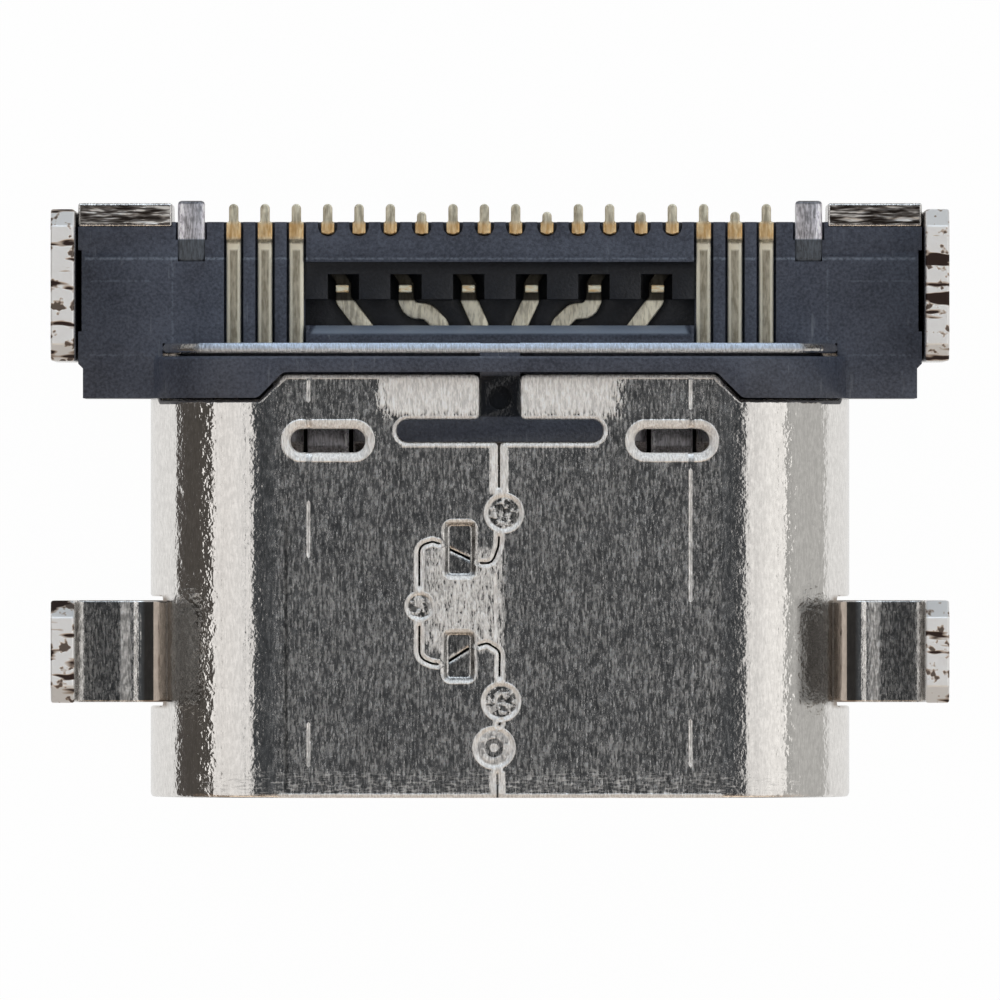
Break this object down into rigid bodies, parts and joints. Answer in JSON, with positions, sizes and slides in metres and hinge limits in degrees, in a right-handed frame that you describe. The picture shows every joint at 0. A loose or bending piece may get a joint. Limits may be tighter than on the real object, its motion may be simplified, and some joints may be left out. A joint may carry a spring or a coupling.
{
  "type": "usb-c socket",
  "caption": "Sinking board socket with an oval folded metal shell, lanced wings, legs that rise through the board, a moulded rear block and a row of solder tails.",
  "frame": {"origin": "middle of the mouth opening, in the plane of the shell's front edge", "axes": "+Y from the mouth towards the tails, +Z towards the circuit board and along the legs, +X to the right seen from the board with the mouth below"},
  "size_m": [0.0114, 0.0076, 0.0033],
  "materials": {
    "shell_steel": "bright nickel plated sheet with fine brushed grain",
    "plate_steel": "plain stamped stainless sheet",
    "housing_plastic": "matte blue black moulding",
    "wafer_plastic": "matte black moulding",
    "tongue_plastic": "matte black moulding",
    "contact_gold": "gold plated copper alloy, dull at the cut tails"
  },
  "bodies": {
    "root": {"shell": "shell_steel", "housing": "housing_plastic", "tongue": "tongue_plastic", "mid_plate": "plate_steel", "near_wafer": "wafer_plastic", "far_wafer": "wafer_plastic", "near_ground_plate": "plate_steel", "far_ground_plate": "plate_steel", "near_contact_1": "contact_gold", "near_contact_2": "contact_gold", "near_contact_3": "contact_gold", "near_contact_4": "contact_gold", "near_contact_5": "contact_gold", "near_contact_6": "contact_gold", "near_contact_7": "contact_gold", "near_contact_8": "contact_gold", "near_contact_9": "contact_gold", "near_contact_10": "contact_gold", "near_contact_11": "contact_gold", "near_contact_12": "contact_gold", "far_contact_1": "contact_gold", "far_contact_2": "contact_gold", "far_contact_3": "contact_gold", "far_contact_4": "contact_gold", "far_contact_5": "contact_gold", "far_contact_6": "contact_gold", "far_contact_7": "contact_gold", "far_contact_8": "contact_gold"}
  },
  "joints": []
}
